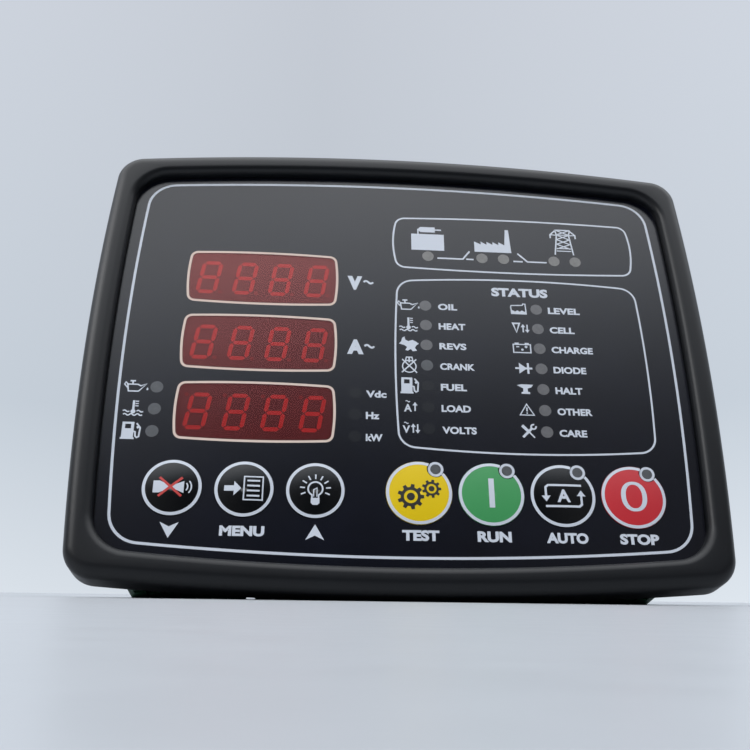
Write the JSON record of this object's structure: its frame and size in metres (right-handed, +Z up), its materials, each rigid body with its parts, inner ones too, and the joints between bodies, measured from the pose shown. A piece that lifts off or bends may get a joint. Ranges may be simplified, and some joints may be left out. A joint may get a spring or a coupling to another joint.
{
  "type": "genset controller",
  "caption": "Panel-mounted genset controller with a bowed dark bezel, red digit displays, alarm lamps, round push keys and plug-in terminals at the rear.",
  "frame": {"origin": "middle of the panel cut-out, on the plane where the bezel seats on the panel", "axes": "+Y into the panel, +Z up, +X to the right of someone facing the keys"},
  "size_m": [0.2046, 0.053, 0.16],
  "materials": {
    "bezel_plastic": "fine sparked grain",
    "film_black": "printed film with a fine grain",
    "window_red": "clear red tint",
    "seal_rubber": "soft matt",
    "display_grey": "matt grey face",
    "digit_red": "milky diffuser",
    "lamp_clear": "milky lens",
    "nylon_white": "plain moulding",
    "key_black": "glossy dome",
    "key_yellow": "printed dome",
    "key_green": "printed dome",
    "key_red": "printed dome",
    "switch_black": "plain moulding",
    "board_green": "lacquered board",
    "brass": "turned",
    "zinc_steel": "zinc plated",
    "relay_blue": "plain moulding",
    "part_black": "plain moulding",
    "sleeve_blue": "shrunk sleeve",
    "terminal_green": "plain moulding",
    "case_plastic": "fine sparked grain"
  },
  "bodies": {
    "controller": {"front_bezel": "bezel_plastic", "panel_seal": "seal_rubber", "face_film": "film_black", "window_top": "window_red", "window_middle": "window_red", "window_low": "window_red", "display_top": "display_grey", "display_middle": "display_grey", "display_low": "display_grey", "digits_top": "digit_red", "digits_middle": "digit_red", "digits_low": "digit_red", "alarm_lamps": "lamp_clear", "mimic_lamps": "lamp_clear", "status_lamps": "lamp_clear", "key_lamps": "lamp_clear", "lamp_spacers": "nylon_white", "key_switches": "switch_black", "display_board": "board_green", "main_board": "board_green", "board_spacers": "brass", "board_screws": "zinc_steel", "link_header": "part_black", "link_socket": "part_black", "controller_chip": "part_black", "relays": "relay_blue", "current_sensors": "part_black", "capacitors": "sleeve_blue", "voltage_regulator": "part_black", "low_headers": "terminal_green", "top_headers": "terminal_green", "low_plug_left": "terminal_green", "low_plug_middle": "terminal_green", "low_plug_right": "terminal_green", "top_plug_left": "terminal_green", "top_plug_middle": "terminal_green", "top_plug_right": "terminal_green", "terminal_pins": "zinc_steel", "terminal_screws": "zinc_steel", "rear_case": "case_plastic", "case_screws": "zinc_steel"},
    "key_mute": {"key_mute": "key_black", "plunger_mute": "switch_black"},
    "key_menu": {"key_menu": "key_black", "plunger_menu": "switch_black"},
    "key_lamp_test": {"key_lamp_test": "key_black", "plunger_lamp_test": "switch_black"},
    "key_test": {"key_test": "key_yellow", "plunger_test": "switch_black"},
    "key_run": {"key_run": "key_green", "plunger_run": "switch_black"},
    "key_auto": {"key_auto": "key_black", "plunger_auto": "switch_black"},
    "key_stop": {"key_stop": "key_red", "plunger_stop": "switch_black"}
  },
  "joints": [
    {"name": "mute_press", "type": "slide", "parent": "controller", "child": "key_mute", "axis": [0, 1, 0], "range_m": [0, 0.0003], "stiffness_N_per_m": 3000},
    {"name": "menu_press", "type": "slide", "parent": "controller", "child": "key_menu", "axis": [0, 1, 0], "range_m": [0, 0.0003], "stiffness_N_per_m": 3000},
    {"name": "lamp_test_press", "type": "slide", "parent": "controller", "child": "key_lamp_test", "axis": [0, 1, 0], "range_m": [0, 0.0003], "stiffness_N_per_m": 3000},
    {"name": "test_press", "type": "slide", "parent": "controller", "child": "key_test", "axis": [0, 1, 0], "range_m": [0, 0.0003], "stiffness_N_per_m": 3000},
    {"name": "run_press", "type": "slide", "parent": "controller", "child": "key_run", "axis": [0, 1, 0], "range_m": [0, 0.0003], "stiffness_N_per_m": 3000},
    {"name": "auto_press", "type": "slide", "parent": "controller", "child": "key_auto", "axis": [0, 1, 0], "range_m": [0, 0.0003], "stiffness_N_per_m": 3000},
    {"name": "stop_press", "type": "slide", "parent": "controller", "child": "key_stop", "axis": [0, 1, 0], "range_m": [0, 0.0003], "stiffness_N_per_m": 3000}
  ]
}
